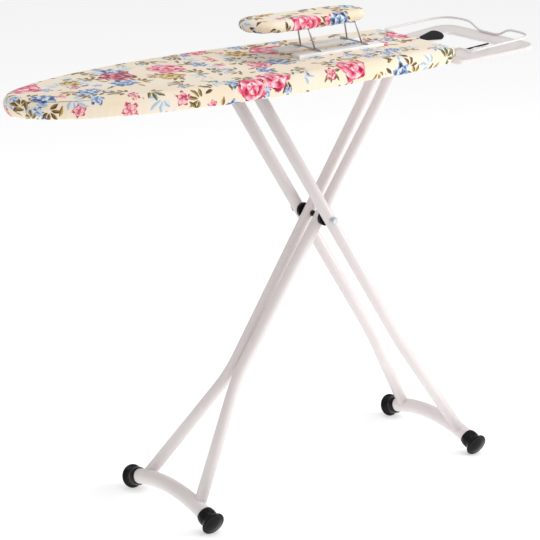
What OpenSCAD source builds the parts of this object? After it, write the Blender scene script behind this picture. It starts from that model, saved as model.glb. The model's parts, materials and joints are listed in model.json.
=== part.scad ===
// Folding ironing board with scissor legs, an iron rest at the tail and a
// small folding sleeve board standing on top.
// X runs along the board from the nose (-X) to the iron rest (+X), Y across, Z up.
// The origin is on the floor, under the middle of the whole object.

/* [Ironing board] */
// Half of the overall length, nose tip to the end of the iron rest
half_length = 593; // [560:1:620]
// X of the board's tail end
tail_x = 386; // [370:1:400]
// Height of the ironing surface
board_top = 906.5; // [880:0.5:940]
// Half of the board's greatest width
board_half_w = 158; // [140:1:160]
// Height of the cover's skirt, from the surface to the hem
skirt_h = 36.5; // [32:0.5:40]
// Thickness of the felt pad
felt_t = 7; // [4:0.5:8]
// Diameter of the rim tube round the board
rim_d = 18; // [14:1:20]

/* [Legs] */
// Diameter of the leg tubes
leg_d = 25; // [22:0.5:25]
// Wall of the leg tubes
leg_wall = 1.2; // [1:0.1:2]
// X of the pivot where the legs cross
pivot_x = 115; // [100:1:130]
// Height of the pivot where the legs cross
pivot_z = 568.5; // [540:0.5:600]
// Half of the spread of the legs at rail height
arm_run = 185; // [180:1:190]
// Height of the hinge and of the guide rails
rail_z = 862; // [855:0.5:865]
// Run per rise of the inner tubes
inner_lean = 0.665; // [0.64:0.005:0.68]
// Half spacing of the inner tubes at the top
inner_top_y = 24.5; // [22:0.5:25]
// Half spacing of the inner tubes at the knee
inner_knee_y = 13.3; // [13:0.1:19]
// Half spacing of the outer tubes
outer_y = 52; // [51:0.5:56]
// Height of the knees where the tubes splay
knee_z = 258; // [230:1:280]

/* [Feet] */
// Diameter of the foot bars
foot_d = 32; // [28:1:34]
// X of the inner legs' foot bar
inner_foot_x = -246; // [-260:1:-230]
// X of the outer legs' foot bar
outer_foot_x = 449; // [430:1:460]
// Half spacing of the splayed tubes at the foot bar
splay_y = 97; // [90:1:105]
// Half of the foot bar's span, along Y
foot_half = 130; // [120:1:140]
// Slope of the foot bar at its ends, in degrees
foot_slope = 18.8; // [12:0.2:22]

/* [Iron rest] */
// Slope of the iron rest, in degrees
rest_slope = 3.8; // [2:0.1:5]
// Half width of the rest where it meets the board
rest_half_w = 132; // [128:1:136]
// Half width of the rest at its far end
rest_end_w = 147; // [140:1:152]
// Diameter of the rack's wire
rack_wire_d = 5; // [4:0.5:6]
// Height of the rack's wire over the rest
rack_h = 19; // [15:1:22]

/* [Sleeve board] */
// Place of the sleeve board across the ironing board
sleeve_y = 8; // [0:1:12]
// X of the sleeve board's nose
sleeve_nose_x = -57; // [-70:1:-50]
// X of the sleeve board's tail
sleeve_tail_x = 235; // [225:1:245]
// Half of the sleeve board's width
sleeve_half_w = 48; // [44:1:52]
// Height of the sleeve board's surface
sleeve_top = 986; // [975:1:995]
// Height of the sleeve cover's skirt
sleeve_skirt = 25; // [20:1:26]
// Diameter of the folding wire legs
link_wire_d = 3.4; // [3:0.2:5]

/* [Hidden] */
$fn = 48;

paint = "#e9dfdc";
black = "#161616";
zinc = "#a9a9aa";
cream = "#f1e8cf";
felt = "#d8d4c8";
white = "#f4f4f2";

cover_t = 1.3;
mesh_t = 1.6;
rim_inset = 12;
nose_x = -half_length;
widest_x = -85;
nose_power = 1.02;
tail_taper = 27;
tail_corner = 16;
tail_bow = 3;
felt_z = board_top - cover_t - felt_t;
mesh_z = felt_z - mesh_t;
rim_z = mesh_z - rim_d / 2;
hem_z = board_top - skirt_h;
rib_h = 10;
rib_z = mesh_z - rib_h;
leg_r = leg_d / 2;
hinge_x = pivot_x + arm_run;
slide_x = pivot_x - arm_run;
outer_lean = arm_run / (rail_z - pivot_z);
foot_r = foot_d / 2;
foot_arc_r = foot_half / sin(foot_slope);
cap_rim_s = 19;
cap_rim_r = 22;
cap_edge_r = 3;
foot_end_z = cap_rim_s * sin(foot_slope) + cap_rim_r * cos(foot_slope) + cap_edge_r;
foot_arc_z = foot_end_z - foot_arc_r * cos(foot_slope);
hinge_rod_r = 4;
slide_bar_r = 4.95;
bend_z = 800;
bolt_r = 4;
running_gap = 0.06;
roller_r = 7;
rest_x = 382;
rest_z = 876.24;
rack_x = 406;
rest_end_x = half_length;
rest_t = 2;
rest_corner = 38;
rest_edge_h = 7;
opening_x1 = 456;
opening_x2 = 542;
opening_w = 80;
rest_pad_x = 481;
rest_pad_y = 72.5;
pad_slope = 21;
shaft_x = -15;
shaft_z = 876;
skid_x1 = 44;
skid_x2 = 261;
skid_w = 26;
skid_t = 8;
skid_y = 35;
link_r = link_wire_d / 2;
link_z = board_top + skid_t + link_r;
link_base_y = 24;
link_top_y = 18;
front_link_x = 102;
rear_link_x = 221;
link_lean = -13;
link_top_z = sleeve_top - sleeve_skirt - 1.5;

// ---------- outline of the board ----------

// Half width at angle a round the nose: a cosine to a power gives a soft point
function nose_point(a) =
    [widest_x - (widest_x - nose_x) * sin(a), board_half_w * pow(cos(a), nose_power)];
// Half width behind the widest place, before the tail is rounded
function taper_w(x) = board_half_w - tail_taper * pow((x - widest_x) / 418, 1.5);
// The tail is a slightly bowed end with two round corners
corner_x = tail_x - tail_bow - tail_corner;
corner_y = taper_w(corner_x) - tail_corner;
function tail_point(a) = [corner_x + tail_corner * sin(a), corner_y + tail_corner * cos(a)];
function bow_point(y) = [tail_x - tail_bow * pow(y / corner_y, 2), y];
half_outline = concat(
    [for (a = [90:-5:0]) nose_point(a)],
    [for (x = [widest_x + 70:70:corner_x - 30]) [x, taper_w(x)]],
    [for (a = [6:11.3:86]) tail_point(a)],
    [for (k = [4:-1:0]) bow_point(0.225 * k * corner_y)]
);
function mirrored(half) = concat(half, [for (i = [len(half) - 2:-1:1]) [half[i][0], -half[i][1]]]);
outline = mirrored(half_outline);
// Unit normal of a closed outline at point i, pointing inwards
function inward(line, i) =
    let (n = len(line), d = line[(i + 1) % n] - line[(i + n - 1) % n])
    [d[1], -d[0]] / norm(d);
function inset(line, by) = [for (i = [0:len(line) - 1]) line[i] + by * inward(line, i)];
function board_w(x) = x < widest_x
    ? board_half_w * pow(1 - pow((widest_x - x) / (widest_x - nose_x), 2), nose_power / 2)
    : taper_w(x);

// ---------- round bars along a path ----------

function unit(v) = v / norm(v);
function tangents(path, closed) =
    let (n = len(path))
    [for (i = [0:n - 1]) unit(
        closed ? path[(i + 1) % n] - path[(i + n - 1) % n]
               : path[min(i + 1, n - 1)] - path[max(i - 1, 0)])];
function across(v, t) = unit(v - (v * t) * t);
// Side vectors carried along the path without twist
function carried(t, first) =
    [for (i = 0, v = across(first, t[0]); i < len(t);
          i = i + 1, v = i < len(t) ? across(v, t[i]) : v) v];
// A corner of a path, rounded by a curve that starts cut away from it on each side
function rounded(points, cut, steps = 5) = [
    for (i = [0:len(points) - 1])
        if (i == 0 || i == len(points) - 1) points[i]
        else
            let (p = points[i],
                 a = p + unit(points[i - 1] - p) * min(cut, norm(points[i - 1] - p) * 0.48),
                 b = p + unit(points[i + 1] - p) * min(cut, norm(points[i + 1] - p) * 0.48))
            for (s = [0:steps]) let (u = s / steps) (1 - u) * (1 - u) * a + 2 * u * (1 - u) * p + u * u * b
];
module round_bar(path, r, sides = 10, closed = false, first = [0, 0, 1]) {
    n = len(path);
    t = tangents(path, closed);
    side = carried(t, first);
    points = [for (i = [0:n - 1], k = [0:sides - 1])
        let (a = 360 * k / sides) path[i] + r * (cos(a) * side[i] + sin(a) * cross(t[i], side[i]))];
    last = closed ? n - 1 : n - 2;
    walls = [for (i = [0:last], k = [0:sides - 1])
        let (j = (i + 1) % n, m = (k + 1) % sides)
        [i * sides + k, j * sides + k, j * sides + m, i * sides + m]];
    ends = closed ? [] : [
        [for (k = [0:sides - 1]) k],
        [for (k = [sides - 1:-1:0]) (n - 1) * sides + k]];
    polyhedron(points, concat(walls, ends), convexity = 8);
}

// Puts a child's Z axis along z_axis and its X axis along x_axis, at place
module oriented(place, x_axis, z_axis) {
    y_axis = cross(z_axis, x_axis);
    multmatrix([
        [x_axis[0], y_axis[0], z_axis[0], place[0]],
        [x_axis[1], y_axis[1], z_axis[1], place[1]],
        [x_axis[2], y_axis[2], z_axis[2], place[2]],
        [0, 0, 0, 1]]) children();
}
module rod(a, b, r) {
    d = unit(b - a);
    oriented(a, across(abs(d[1]) < 0.9 ? [0, 1, 0] : [1, 0, 0], d), d) cylinder(h = norm(b - a), r = r);
}
module y_rod(x, z, y1, y2, r) {
    translate([x, y1, z]) rotate([-90, 0, 0]) cylinder(h = y2 - y1, r = r);
}

// ---------- board ----------

module slab(line, z, t) {
    translate([0, 0, z]) linear_extrude(t) polygon(line);
}
// Fitted cotton cover: a thin skin over the pad, with a skirt that is shorter over the iron rest
module board_cover() {
    color(cream) difference() {
        slab(outline, hem_z, skirt_h);
        slab(inset(outline, cover_t), hem_z - 1, skirt_h - cover_t + 1);
        translate([tail_x - 6, -board_half_w, hem_z - 1]) cube([30, 2 * board_half_w, 11.5]);
    }
}
module felt_pad() {
    color(felt) slab(inset(outline, cover_t + 0.4), felt_z, felt_t);
}
module mesh_panel() {
    color(white) slab(inset(outline, 6), mesh_z, mesh_t);
}
module rim_tube() {
    color(paint) round_bar([for (p = inset(outline, rim_inset)) [p[0], p[1], rim_z]],
        rim_d / 2, closed = true);
}
rib_places = [-385, -245, -108, shaft_x, 150, hinge_x];
rib_w = 20;
// Channels, open underneath, across the board
rib_wall = 1.5;
module cross_ribs() {
    color(paint) {
        for (x = rib_places) {
            half = board_w(x - rib_w / 2 * sign(widest_x - x)) - rim_inset - rim_d / 2 - 1.5;
            difference() {
                translate([x - rib_w / 2, -half, rib_z]) cube([rib_w, 2 * half, rib_h]);
                translate([x - rib_w / 2 + rib_wall, -half + rib_wall, rib_z - 1])
                    cube([rib_w - 2 * rib_wall, 2 * (half - rib_wall), rib_h - rib_wall + 1]);
            }
        }
        // deep rib that the iron rest is screwed up against
        difference() {
            translate([322, -80, rest_z - 12]) cube([24, 160, mesh_z - rest_z + 12]);
            on_rest() translate([300, -90, -40]) cube([100, 180, 40.05]);
            on_rest() rest_screw_holes(2.52);
        }
    }
}
rail_y = 32;
rail_w = 10;
module guide_rails() {
    x1 = slide_x - 334;
    x2 = slide_x + 12;
    flange = 1.6;
    half = roller_r + 0.3;
    color(zinc) for (side = [-1, 1]) {
        for (z = [rail_z + half, rail_z - half - flange])
            translate([x1, side * rail_y - rail_w / 2, z]) cube([x2 - x1, rail_w, flange]);
        // web with a long slot that the slide bar passes through
        translate([x1, side * (rail_y + rail_w / 2) - (side > 0 ? 0 : flange), rail_z]) difference() {
            translate([0, 0, -half - flange]) cube([x2 - x1, flange, 2 * (half + flange)]);
            translate([6, -1, -slide_bar_r - 0.4]) cube([x2 - x1 - 12, flange + 2, 2 * (slide_bar_r + 0.4)]);
        }
        for (x = [rib_places[0], rib_places[1], rib_places[2]])
            translate([x - rib_w / 2, side * rail_y - rail_w / 2, rail_z + half + flange])
                cube([rib_w, rail_w, rib_z - rail_z - half - flange]);
    }
}
module leg_brackets() {
    color(zinc) for (side = [-1, 1]) difference() {
        translate([hinge_x - 14, side * 40.5 - 1.2, rail_z - 12]) cube([28, 2.4, rib_z - rail_z + 12]);
        y_rod(hinge_x, rail_z, side * 40.5 - 3, side * 40.5 + 3, hinge_rod_r + running_gap);
    }
}
module leg_hinge_rod() {
    color(zinc) {
        y_rod(hinge_x, rail_z, -43, 43, hinge_rod_r);
        for (side = [-1, 1]) y_rod(hinge_x, rail_z, side * 44 - 2, side * 44 + 2, 7);
    }
}
bearing_places = [-98, -46, 46];
module latch_bearings() {
    color(zinc) for (y = bearing_places) difference() {
        translate([shaft_x - rib_w / 2, y - 1.2, shaft_z - 8]) cube([rib_w, 2.4, rib_z - shaft_z + 8]);
        y_rod(shaft_x, shaft_z, y - 3, y + 3, 4 + running_gap);
    }
}

// ---------- iron rest ----------

// Places its children in the rest's own sloping plane, with X and Z measured from the tail
module on_rest() {
    translate([rest_x, 0, rest_z]) rotate([0, -rest_slope, 0]) translate([-rest_x, 0, 0]) children();
}
function arc(cx, cy, r, a1, a2, steps = 8) =
    [for (s = [0:steps]) let (a = a1 + (a2 - a1) * s / steps) [cx + r * cos(a), cy + r * sin(a)]];
// Closed outline of the rest, moved inwards by d
function rest_half(d) = concat(
    arc(rest_x + 12, rest_half_w - 12, 12 - d, 180, 90, 4),
    arc(rest_end_x - rest_corner, rest_end_w - rest_corner, rest_corner - d, 90, 0));
function rest_line(d) = let (h = rest_half(d)) concat(h, [for (i = [len(h) - 1:-1:0]) [h[i][0], -h[i][1]]]);
module rest_opening(grow) {
    translate([opening_x1 - grow, -opening_w - grow]) square([opening_x2 - opening_x1 + 2 * grow,
        2 * (opening_w + grow)]);
}
rest_screw_places = [[334, -60], [334, -20], [334, 20], [334, 60]];
module rest_screw_holes(r) {
    for (p = rest_screw_places) translate([p[0], p[1], -10]) cylinder(h = 21.5, r = r);
}
module rest_frame() {
    color(paint) on_rest() difference() {
        union() {
            translate([0, 0, -rest_t]) linear_extrude(rest_t) difference() {
                polygon(rest_line(0));
                rest_opening(0);
            }
            translate([0, 0, -rest_edge_h]) linear_extrude(rest_edge_h) difference() {
                polygon(rest_line(0));
                polygon(rest_line(rest_t));
            }
            translate([0, 0, -6]) linear_extrude(6) difference() {
                rest_opening(rest_t);
                rest_opening(0);
            }
            // tongue that runs in under the board
            translate([318, -82, -rest_t]) cube([rest_x - 318 + 1, 164, rest_t]);
        }
        rest_screw_holes(2.6);
    }
}
module rest_screws() {
    color(zinc) on_rest() for (p = rest_screw_places) translate([p[0], p[1], 0]) {
        translate([0, 0, -rest_t - 3]) cylinder(h = 3, r = 4.6);
        translate([0, 0, -rest_t - 0.5]) cylinder(h = 13.5, r = 2.5);
    }
}
// Wire rail round the iron: welded to the frame at the middle of its end and at its two inner ends
module rest_wire_rack() {
    wire = rack_wire_d / 2;
    up = rack_h;
    low = wire + 0.1;
    half = [[rack_x, 92, low], [rack_x, 97, up], [rack_x + 1, 142, up],
        [545, 141, up], [572, 132, up], [583, 105, up], [583, 60, up], [583, 32, low]];
    path = concat(half, [for (i = [len(half) - 1:-1:0]) [half[i][0], -half[i][1], half[i][2]]]);
    color(zinc) on_rest() round_bar(rounded(path, 16), wire, first = [1, 0, 0.2]);
}
module on_pad(side) {
    on_rest() translate([rest_pad_x, side * rest_pad_y, 1.2]) rotate([side * pad_slope, 0, 0]) children();
}
module pad_brackets() {
    color(paint) for (side = [-1, 1]) {
        on_pad(side) translate([-18, -side * 4 - 15, -1.4]) cube([36, 30, 1.4]);
        on_rest() translate([rest_pad_x - 18, side * 83.3 - 1, 0.05]) cube([36, 2, 4.3]);
    }
}
// Teardrop pad: narrow towards the board, wide towards the end
module teardrop() {
    wide = 17;
    narrow = 8;
    length = 36;
    tip = asin((wide - narrow) / length);
    half = concat(arc(15, 0, wide, 0, 90 + tip, 12), arc(15 - length, 0, narrow, 90 + tip, 180, 8));
    polygon(mirrored(half));
}
module rest_pad(side) {
    color(black) on_pad(side) linear_extrude(3) teardrop();
}
module rest_pad_left() { rest_pad(1); }
module rest_pad_right() { rest_pad(-1); }

// ---------- legs ----------

// Where a splayed tube meets its foot bar
function foot_joint(x, side) =
    [x, side * splay_y, foot_arc_z + sqrt(foot_arc_r * foot_arc_r - splay_y * splay_y)];
// Y of the inner tube at height z
function inner_y(z) = inner_knee_y + (inner_top_y - inner_knee_y) * (z - knee_z) / (rail_z - knee_z);
// Centre line of a tube: its end past the rail, two bends or one, and the foot
function inner_path(side) = [
    [hinge_x + 5, side * inner_y(rail_z + 10), rail_z + 10],
    [pivot_x + inner_lean * (bend_z - pivot_z), side * inner_y(bend_z), bend_z],
    [pivot_x, side * inner_y(pivot_z), pivot_z],
    [pivot_x - inner_lean * (pivot_z - knee_z), side * inner_knee_y, knee_z],
    foot_joint(inner_foot_x, side)];
function outer_path(side) = [
    [slide_x - 10 * outer_lean, side * outer_y, rail_z + 10],
    [pivot_x + outer_lean * (pivot_z - knee_z), side * outer_y, knee_z],
    foot_joint(outer_foot_x, side)];
// The same path, longer at both ends, for the hollow inside
function longer(path, by) =
    let (n = len(path), a = path[0], b = path[n - 1])
    [for (i = [0:n - 1])
        i == 0 ? a + by * unit(a - path[1]) : i == n - 1 ? b + by * unit(b - path[n - 2]) : path[i]];
module leg_tube(path) {
    difference() {
        round_bar(rounded(path, 42), leg_r, sides = 24, first = [0, 1, 0]);
        round_bar(rounded(longer(path, 3), 42), leg_r - leg_wall, sides = 24, first = [0, 1, 0]);
        children();
    }
}

module foot_arc(x, r) {
    translate([x, 0, foot_arc_z]) rotate([90, 0, 90]) rotate([0, 0, 90 - foot_slope])
        rotate_extrude(angle = 2 * foot_slope, $fn = 144) translate([foot_arc_r, 0]) circle(r = r);
}
module inner_leg(side) {
    color(paint) leg_tube(inner_path(side)) {
        y_rod(hinge_x, rail_z, -60, 60, hinge_rod_r + running_gap);
        y_rod(pivot_x, pivot_z, -60, 60, bolt_r + running_gap);
        foot_arc(inner_foot_x, foot_r);
    }
}
module inner_leg_left() { inner_leg(1); }
module inner_leg_right() { inner_leg(-1); }
// Tubes on the hinge rod that space the legs from each other and from the brackets
module hinge_spacers() {
    color(black) for (span = [[-inner_top_y + leg_r + 0.4, inner_top_y - leg_r - 0.4],
        [inner_top_y + leg_r + 0.4, 38.9], [-38.9, -inner_top_y - leg_r - 0.4]]) difference() {
        y_rod(hinge_x, rail_z, span[0], span[1], 8);
        y_rod(hinge_x, rail_z, span[0] - 1, span[1] + 1, hinge_rod_r + running_gap);
    }
}
module foot_bar(x) {
    color(paint) difference() {
        foot_arc(x, foot_r - 0.02);
        foot_arc(x, foot_r - 1.5);
    }
}
module inner_foot_bar() { foot_bar(inner_foot_x); }
// Black end cap: a collar over the bar's end and a flared, domed foot
module foot_cap(x, side) {
    profile = [[0, 0], [0, 27], [7, 26.4], [14, 24.6], [19, 22.6], [cap_rim_r, cap_rim_s + cap_edge_r]];
    edge = arc(cap_rim_r, cap_rim_s, cap_edge_r, 90, -40, 6);
    neck = [[19.4, 12], [18.2, 8], [19.2, 4], [19.6, -2], [18.8, -9], [17.6, -12], [foot_r + 0.3, -12],
        [foot_r + 0.3, 0]];
    color(black)
        oriented([x, side * foot_half, foot_end_z], [1, 0, 0], [0, side * cos(foot_slope), -sin(foot_slope)])
        rotate_extrude($fn = 64) polygon(concat(profile, edge, neck));
}
module inner_foot_cap_left() { foot_cap(inner_foot_x, 1); }
module inner_foot_cap_right() { foot_cap(inner_foot_x, -1); }

module pivot_bolt() {
    color(zinc) {
        y_rod(pivot_x, pivot_z, -outer_y - leg_r - 3, outer_y + leg_r + 8, bolt_r);
        translate([pivot_x, -outer_y - leg_r - 1.6, pivot_z]) rotate([90, 0, 0]) cylinder(h = 5, r1 = 8, r2 = 5.5);
    }
}
module pivot_nut() {
    color(zinc) difference() {
        translate([pivot_x, outer_y + leg_r + 1.6, pivot_z]) rotate([-90, 0, 0]) cylinder(h = 6.5, r = 7.5, $fn = 6);
        y_rod(pivot_x, pivot_z, 0, 90, bolt_r + 0.02);
    }
}
module ring(y, t, r, bore) {
    difference() {
        y_rod(pivot_x, pivot_z, y - t / 2, y + t / 2, r);
        y_rod(pivot_x, pivot_z, y - t, y + t, bore);
    }
}
module pivot_washers() {
    color(zinc) for (side = [-1, 1]) ring(side * (outer_y + leg_r + 0.9), 1.2, 10, bolt_r + 0.3);
}
module pivot_spacers() {
    inner = inner_y(pivot_z);
    color(black) {
        for (side = [-1, 1])
            ring(side * (inner + outer_y) / 2, outer_y - inner - leg_d - 0.6, 16, bolt_r + running_gap);
        ring(0, 2 * (inner - leg_r) - 0.8, 6.5, bolt_r + running_gap);
    }
}

module outer_leg(side) {
    color(paint) leg_tube(outer_path(side)) {
        y_rod(slide_x, rail_z, -80, 80, slide_bar_r + 0.02);
        y_rod(pivot_x, pivot_z, -80, 80, bolt_r + running_gap);
        foot_arc(outer_foot_x, foot_r);
    }
}
module outer_leg_left() { outer_leg(1); }
module outer_leg_right() { outer_leg(-1); }
module slide_bar() {
    color(zinc) y_rod(slide_x, rail_z, -outer_y - leg_r - 2, outer_y + leg_r + 2, slide_bar_r);
}
module slide_rollers() {
    color(black) for (side = [-1, 1]) difference() {
        y_rod(slide_x, rail_z, side * rail_y - 4.5, side * rail_y + 4.5, roller_r);
        y_rod(slide_x, rail_z, side * rail_y - 6, side * rail_y + 6, slide_bar_r + 0.02);
    }
}
module outer_foot_bar() { foot_bar(outer_foot_x); }
module outer_foot_cap_left() { foot_cap(outer_foot_x, 1); }
module outer_foot_cap_right() { foot_cap(outer_foot_x, -1); }

// ---------- height latch ----------

module latch_shaft() {
    color(zinc) y_rod(shaft_x, shaft_z, -108, 50, 4);
}
// Two hooked plates whose teeth lie just over the slide bar
module latch_hooks() {
    color(zinc) for (y = [-15, 15]) difference() {
        translate([0, y + 1.5, 0]) rotate([90, 0, 0]) linear_extrude(3) polygon([
            [shaft_x + 7, shaft_z - 6], [shaft_x + 7, shaft_z + 6], [shaft_x - 20, shaft_z + 6],
            [slide_x - 20, shaft_z + 2], [slide_x - 20, rail_z + 6.5], [slide_x - 14, rail_z + 6.5],
            [slide_x - 9, shaft_z - 5], [slide_x + 4, shaft_z - 5], [slide_x + 9, rail_z + 6.5],
            [slide_x + 15, rail_z + 6.5], [slide_x + 20, shaft_z - 5]]);
        y_rod(shaft_x, shaft_z, y - 5, y + 5, 4.02);
    }
}
handle_y = -104;
module release_handle() {
    color(zinc) difference() {
        translate([0, handle_y + 1.5, 0]) rotate([90, 0, 0]) linear_extrude(3) polygon([
            [shaft_x + 7, shaft_z - 6], [shaft_x + 7, shaft_z + 6], [shaft_x - 12, shaft_z + 6],
            [shaft_x - 74, shaft_z], [shaft_x - 74, shaft_z - 8], [shaft_x - 12, shaft_z - 7]]);
        y_rod(shaft_x, shaft_z, handle_y - 5, handle_y + 5, 4.02);
    }
}
module handle_grip() {
    color(black) difference() {
        hull() for (x = [shaft_x - 70, shaft_x - 44])
            translate([x, handle_y, shaft_z - 3.5]) scale([1, 0.55, 1]) sphere(r = 10, $fn = 32);
        translate([shaft_x - 74.3, handle_y - 1.55, shaft_z - 10]) cube([60, 3.1, 18]);
    }
}
// Torsion spring, drawn as its envelope
module latch_spring() {
    color(zinc) difference() {
        y_rod(shaft_x, shaft_z, -74, -58, 6.5);
        y_rod(shaft_x, shaft_z, -76, -56, 4.3);
    }
}

// ---------- sleeve board ----------

module sleeve_skid(side) {
    color(white) translate([skid_x1, sleeve_y + side * skid_y - skid_w / 2, board_top])
        cube([skid_x2 - skid_x1, skid_w, skid_t]);
}
module sleeve_skid_left() { sleeve_skid(1); }
module sleeve_skid_right() { sleeve_skid(-1); }
// Saddles that hold the wire legs down on the skids
module skid_clips() {
    color(zinc) for (x = [front_link_x, rear_link_x], side = [-1, 1])
        translate([x, sleeve_y + side * skid_y, board_top + skid_t]) difference() {
            union() {
                translate([-7, -4, 0]) cube([14, 8, 1.2]);
                translate([0, -4, link_r]) rotate([-90, 0, 0]) cylinder(h = 8, r = link_r + 1.3);
                translate([-link_r - 1.3, -4, 0]) cube([2 * link_r + 2.6, 8, link_r]);
            }
            translate([0, -6, link_r]) rotate([-90, 0, 0]) cylinder(h = 12, r = link_r + running_gap);
            translate([-link_r - running_gap, -6, -1]) cube([2 * (link_r + running_gap), 12, link_r + 1]);
            translate([-10, -6, -9]) cube([20, 12, 9]);
        }
}
// Wire leg: a base rod in the clips, with a tapered loop that carries the sleeve board
loop_r = link_r - 0.05;
module sleeve_leg(x) {
    base = 46;
    loop = [[x, sleeve_y + link_base_y, link_z], [x + link_lean, sleeve_y + link_top_y, link_top_z],
        [x + link_lean, sleeve_y - link_top_y, link_top_z], [x, sleeve_y - link_base_y, link_z]];
    color(zinc) {
        y_rod(x, link_z, sleeve_y - base, sleeve_y + base, link_r);
        round_bar(rounded(loop, 4.5), loop_r, sides = 16, first = [1, 0, 0]);
    }
}
module sleeve_leg_front() { sleeve_leg(front_link_x); }
module sleeve_leg_rear() { sleeve_leg(rear_link_x); }

// Half outline of the sleeve board: round nose, slight taper, round tail
sleeve_taper = 6;
sleeve_tail_r = sleeve_half_w - sleeve_taper;
sleeve_half = concat(
    arc(sleeve_nose_x + sleeve_half_w, 0, sleeve_half_w, 180, 90, 12),
    arc(sleeve_tail_x - sleeve_tail_r, 0, sleeve_tail_r, 90, 0, 12));
sleeve_line = [for (p = mirrored(sleeve_half)) p + [0, sleeve_y]];
sleeve_pad_t = 6;
sleeve_panel_t = 5;
module sleeve_cover() {
    color(cream) difference() {
        slab(sleeve_line, sleeve_top - sleeve_skirt, sleeve_skirt);
        slab(inset(sleeve_line, cover_t), sleeve_top - sleeve_skirt - 1, sleeve_skirt - cover_t + 1);
    }
}
module sleeve_pad() {
    color(felt) slab(inset(sleeve_line, cover_t + 0.4), sleeve_top - cover_t - sleeve_pad_t, sleeve_pad_t);
}
sleeve_panel_z = sleeve_top - cover_t - sleeve_pad_t - sleeve_panel_t;
module sleeve_panel() {
    color(white) slab(inset(sleeve_line, 5), sleeve_panel_z, sleeve_panel_t);
}
// Blocks under the panel with a slot for each wire leg's top; the rear slot has play
module sleeve_hinge_clips() {
    color(white) for (x = [front_link_x, rear_link_x]) {
        play = x == rear_link_x ? 0.6 : running_gap;
        difference() {
            translate([x + link_lean - 7, sleeve_y - 12, link_top_z - link_r - 1.5])
                cube([14, 24, sleeve_panel_z - link_top_z + link_r + 1.5]);
            y_rod(x + link_lean, link_top_z, sleeve_y - 20, sleeve_y + 20, loop_r + play);
        }
    }
}

board_cover();
felt_pad();
mesh_panel();
rim_tube();
cross_ribs();
guide_rails();
leg_brackets();
leg_hinge_rod();
latch_bearings();
rest_frame();
rest_wire_rack();
pad_brackets();
rest_pad_left();
rest_pad_right();
rest_screws();
inner_leg_left();
inner_leg_right();
hinge_spacers();
inner_foot_bar();
inner_foot_cap_left();
inner_foot_cap_right();
pivot_bolt();
pivot_nut();
pivot_washers();
pivot_spacers();
outer_leg_left();
outer_leg_right();
slide_bar();
slide_rollers();
outer_foot_bar();
outer_foot_cap_left();
outer_foot_cap_right();
latch_shaft();
latch_hooks();
release_handle();
handle_grip();
latch_spring();
sleeve_skid_left();
sleeve_skid_right();
skid_clips();
sleeve_leg_front();
sleeve_leg_rear();
sleeve_panel();
sleeve_pad();
sleeve_cover();
sleeve_hinge_clips();
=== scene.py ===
# %% [markdown]
# A folding ironing board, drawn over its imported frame.
# The frame holds every tube, hinge and bolt at its true place and size. This lesson adds what the
# eye sees first: the padded printed cover, the small sleeve board, smooth painted tubes, bent wire
# and pressed sheet steel. Each step says what a piece is, how it could be made, and why it is made
# the way it is.

# %% Open the frame
import json
import math
import bpy
import numpy as np
from mathutils import Matrix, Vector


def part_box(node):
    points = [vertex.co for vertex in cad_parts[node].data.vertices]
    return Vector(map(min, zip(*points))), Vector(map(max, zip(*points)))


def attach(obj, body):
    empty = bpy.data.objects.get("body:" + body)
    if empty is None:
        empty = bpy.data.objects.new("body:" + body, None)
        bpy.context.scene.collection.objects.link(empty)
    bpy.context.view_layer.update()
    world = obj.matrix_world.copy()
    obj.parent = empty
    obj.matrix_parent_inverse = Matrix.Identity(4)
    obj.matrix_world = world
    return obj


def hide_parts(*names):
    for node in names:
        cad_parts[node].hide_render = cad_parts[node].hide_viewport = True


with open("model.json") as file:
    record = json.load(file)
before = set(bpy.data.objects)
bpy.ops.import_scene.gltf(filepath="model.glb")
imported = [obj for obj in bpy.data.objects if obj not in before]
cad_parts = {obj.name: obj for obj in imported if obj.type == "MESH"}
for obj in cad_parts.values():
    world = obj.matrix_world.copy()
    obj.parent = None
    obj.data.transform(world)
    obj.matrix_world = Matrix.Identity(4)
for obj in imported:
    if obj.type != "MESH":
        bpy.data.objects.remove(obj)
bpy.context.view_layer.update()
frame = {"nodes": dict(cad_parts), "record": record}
nodes = frame["nodes"]
joints = {j["name"]: j for j in frame["record"]["behaviour"]["joints"]}

# %% [markdown]
# The camera comes first, because every choice after it is judged through it.
# A long lens far away keeps the legs nearly parallel. The place is a direction and a distance
# from a point in the middle of the board, so it is easy to walk round.

# %% Camera
def look_at(target, azimuth, elevation, distance, lens):
    """A camera on a sphere round the target: azimuth turns it, elevation lifts it."""
    a, e = math.radians(azimuth), math.radians(elevation)
    back = np.array([math.sin(a) * math.cos(e), -math.cos(a) * math.cos(e), math.sin(e)])
    right = np.array([math.cos(a), math.sin(a), 0.0])
    up = np.cross(back, right)
    data = bpy.data.cameras.new("camera")
    data.lens, data.sensor_width = lens, 36.0
    data.clip_start, data.clip_end = 0.05, 60.0
    cam = bpy.data.objects.new("camera", data)
    place = np.array(target) + back * distance
    m = np.eye(4)
    m[:3, 0], m[:3, 1], m[:3, 2], m[:3, 3] = right, up, back, place
    cam.matrix_world = Matrix(m.tolist())
    bpy.context.scene.collection.objects.link(cam)
    bpy.context.scene.camera = cam
    return cam


camera = look_at((0.002, 0.0, 0.468), -36.15, 17.56, 4.231, 138.0)
print("camera at", tuple(round(x, 3) for x in camera.matrix_world.translation))

# %% [markdown]
# Surfaces are worked out as whole grids of points. A grid has a first way (rows) and a second way
# (columns); either may close on itself like the skin of a tube. One helper turns a grid into a
# mesh, and keeps a flat coordinate for each point so that a print can follow the cloth.

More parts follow.
